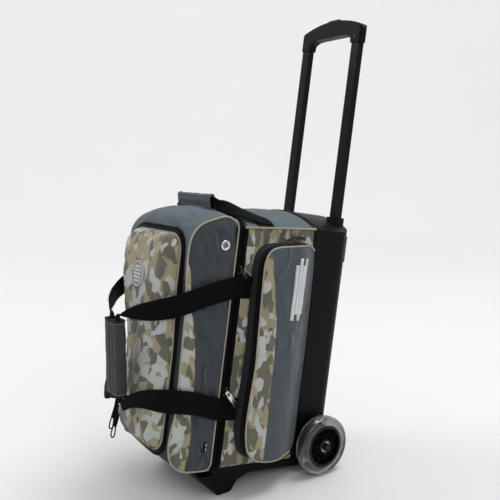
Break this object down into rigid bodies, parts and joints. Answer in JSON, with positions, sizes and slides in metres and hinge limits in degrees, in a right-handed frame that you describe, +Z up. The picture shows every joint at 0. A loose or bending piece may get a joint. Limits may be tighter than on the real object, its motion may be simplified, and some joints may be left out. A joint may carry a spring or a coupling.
{
  "type": "rolling bowling bag",
  "caption": "Upright wheeled bag for bowling balls with a telescoping tow handle, a swinging front lid, zipped side pockets, wrapped tote straps, wheels and a front foot.",
  "frame": {"origin": "on the floor, at the centre of the outline's box", "axes": "+Z up, -Y towards the front pocket, +X towards the side with the main zip sliders; the bag leans back 8.5 degrees about X"},
  "size_m": [0.342, 0.5728, 0.9723],
  "materials": {
    "grey_fabric": "slate grey coated polyester weave",
    "dark_fabric": "dark grey polyester gusset",
    "camo_fabric": "polyester printed in pale angular camouflage patches",
    "webbing": "black ribbed webbing",
    "foam": "closed-cell foam under lining",
    "board": "lined stiffening board",
    "tub_plastic": "moulded black back tub, fine texture",
    "black_plastic": "moulded black nylon",
    "hub_plastic": "glossy black moulding",
    "plug_plastic": "natural acetal",
    "tyre_clear": "smoky clear polyurethane",
    "tube_metal": "black painted aluminium",
    "sleeve_metal": "mill finish",
    "steel": "zinc plated",
    "zip_metal": "black lacquered zinc",
    "chrome_trim": "bright plate",
    "badge": "embroidered plain roundel"
  },
  "bodies": {
    "bag": {"back_tub": "tub_plastic", "back_board": "board", "ball_cradle": "foam", "floor_pad": "foam", "base_plate": "black_plastic", "front_foot": "black_plastic", "base_screws": "steel", "sleeve_near": "sleeve_metal", "sleeve_far": "sleeve_metal", "tow_housing": "black_plastic", "sleeve_bracket": "black_plastic", "wheel_mount_near": "black_plastic", "wheel_mount_far": "black_plastic", "axle": "steel", "axle_caps": "black_plastic", "rear_shell": "grey_fabric", "zip_tape_rear": "webbing", "pocket_base_near": "dark_fabric", "pocket_base_far": "dark_fabric", "webbing_anchors": "webbing"},
    "tow_handle": {"tube_near": "tube_metal", "tube_far": "tube_metal", "tow_grip": "black_plastic", "grip_screws": "steel", "tube_plugs": "plug_plastic"},
    "grip_button": {"release_button": "black_plastic", "push_rods": "steel"},
    "wheel_near": {"hub_near": "hub_plastic", "tyre_near": "tyre_clear", "bearings_near": "steel"},
    "wheel_far": {"hub_far": "hub_plastic", "tyre_far": "tyre_clear", "bearings_far": "steel"},
    "front_lid": {"lid_shell": "grey_fabric", "front_pocket": "camo_fabric", "zip_tape_lid": "webbing", "front_zip_band": "webbing", "eyelets": "chrome_trim", "emblem": "badge"},
    "tote_near": {"tote_strap_near": "webbing", "grip_half_near": "grey_fabric"},
    "tote_far": {"tote_strap_far": "webbing", "grip_half_far": "grey_fabric"},
    "top_handle": {"top_strap": "webbing", "top_pad": "grey_fabric"},
    "pocket_lid_near": {"side_lid_near": "grey_fabric"},
    "pocket_lid_far": {"side_lid_far": "grey_fabric"},
    "main_slider_upper_body": {"main_slider_upper": "zip_metal"},
    "main_pull_upper_body": {"main_pull_upper": "zip_metal"},
    "main_slider_lower_body": {"main_slider_lower": "zip_metal"},
    "main_pull_lower_body": {"main_pull_lower": "chrome_trim"},
    "side_slider_near_body": {"side_slider_near": "zip_metal"},
    "side_pull_near_body": {"side_pull_near": "zip_metal"},
    "side_slider_far_body": {"side_slider_far": "zip_metal"},
    "side_pull_far_body": {"side_pull_far": "zip_metal"},
    "front_slider_upper_body": {"front_slider_upper": "zip_metal"},
    "front_pull_upper_body": {"front_pull_upper": "zip_metal"},
    "front_slider_lower_body": {"front_slider_lower": "zip_metal"},
    "front_pull_lower_body": {"front_pull_lower": "zip_metal"}
  },
  "joints": [
    {"name": "tow_handle_slide", "type": "slide", "parent": "bag", "child": "tow_handle", "axis": [0, 0.1478, 0.989], "range_m": [-0.37, 0]},
    {"name": "release_button_press", "type": "slide", "parent": "tow_handle", "child": "grip_button", "axis": [0, -0.1478, -0.989], "range_m": [0, 0.0035], "stiffness_N_per_m": 700, "springref_m": -0.004},
    {"name": "wheel_near_spin", "type": "hinge", "parent": "bag", "child": "wheel_near", "pos_m": [0.15, 0.1215, 0.0625], "axis": [1, 0, 0], "continuous": true},
    {"name": "wheel_far_spin", "type": "hinge", "parent": "bag", "child": "wheel_far", "pos_m": [-0.15, 0.1215, 0.0625], "axis": [1, 0, 0], "continuous": true},
    {"name": "front_lid_swing", "type": "hinge", "parent": "bag", "child": "front_lid", "pos_m": [-0.1285, -0.09619, 0.29726], "axis": [0, -0.1478, -0.989], "range_deg": [0, 75]},
    {"name": "tote_near_swing", "type": "hinge", "parent": "bag", "child": "tote_near", "pos_m": [0.1315, -0.09224, 0.29666], "axis": [0, 0.1478, 0.989], "range_deg": [0, 105]},
    {"name": "tote_far_swing", "type": "hinge", "parent": "bag", "child": "tote_far", "pos_m": [-0.1315, -0.09224, 0.29666], "axis": [0, -0.1478, -0.989], "range_deg": [0, 75]},
    {"name": "top_handle_swing", "type": "hinge", "parent": "bag", "child": "top_handle", "pos_m": [0, 0.01573, 0.53533], "axis": [-1, 0, 0], "range_deg": [0, 80]},
    {"name": "pocket_lid_near_swing", "type": "hinge", "parent": "bag", "child": "pocket_lid_near", "pos_m": [0.131, 0.0759, 0.27154], "axis": [0, 0.1478, 0.989], "range_deg": [0, 70]},
    {"name": "pocket_lid_far_swing", "type": "hinge", "parent": "bag", "child": "pocket_lid_far", "pos_m": [-0.131, 0.0759, 0.27154], "axis": [0, -0.1478, -0.989], "range_deg": [0, 70]},
    {"name": "main_slider_upper_run", "type": "slide", "parent": "bag", "child": "main_slider_upper_body", "axis": [0, 0.1478, 0.989], "range_m": [0, 0.06]},
    {"name": "main_pull_upper_flip", "type": "hinge", "parent": "main_slider_upper_body", "child": "main_pull_upper_body", "pos_m": [0.1354, -0.07284, 0.45352], "axis": [0, -0.7254, -0.6884], "range_deg": [0, 80]},
    {"name": "main_slider_lower_run", "type": "slide", "parent": "bag", "child": "main_slider_lower_body", "axis": [0, 0.1478, 0.989], "range_m": [0, 0.15]},
    {"name": "main_pull_lower_flip", "type": "hinge", "parent": "main_slider_lower_body", "child": "main_pull_lower_body", "pos_m": [0.1354, -0.10787, 0.21912], "axis": [0, -0.8039, -0.5948], "range_deg": [0, 80]},
    {"name": "side_slider_near_run", "type": "slide", "parent": "bag", "child": "side_slider_near_body", "axis": [0, 0.989, -0.1478], "range_m": [-0.022, 0.016]},
    {"name": "side_pull_near_flip", "type": "hinge", "parent": "side_slider_near_body", "child": "side_pull_near_body", "pos_m": [0.1492, 0.03668, 0.50975], "axis": [1, 0, 0], "range_deg": [0, 100]},
    {"name": "side_slider_far_run", "type": "slide", "parent": "bag", "child": "side_slider_far_body", "axis": [0, 0.989, -0.1478], "range_m": [-0.022, 0.016]},
    {"name": "side_pull_far_flip", "type": "hinge", "parent": "side_slider_far_body", "child": "side_pull_far_body", "pos_m": [-0.1492, 0.03668, 0.50975], "axis": [1, 0, 0], "range_deg": [0, 100]},
    {"name": "front_slider_upper_run", "type": "slide", "parent": "front_lid", "child": "front_slider_upper_body", "axis": [0, 0.1478, 0.989], "range_m": [0, 0.12]},
    {"name": "front_pull_upper_flip", "type": "hinge", "parent": "front_slider_upper_body", "child": "front_pull_upper_body", "pos_m": [-0.1028, -0.23834, 0.18099], "axis": [-1, 0, 0], "range_deg": [0, 80]},
    {"name": "front_slider_lower_run", "type": "slide", "parent": "front_lid", "child": "front_slider_lower_body", "axis": [0, 0.1478, 0.989], "range_m": [-0.006, 0]},
    {"name": "front_pull_lower_flip", "type": "hinge", "parent": "front_slider_lower_body", "child": "front_pull_lower_body", "pos_m": [-0.1028, -0.24129, 0.16121], "axis": [-1, 0, 0], "range_deg": [0, 80]}
  ],
  "couplings": [
    {"joint": "tote_near_swing", "follows": "front_lid_swing", "ratio": 1.4},
    {"joint": "tote_far_swing", "follows": "front_lid_swing", "ratio": 1}
  ]
}
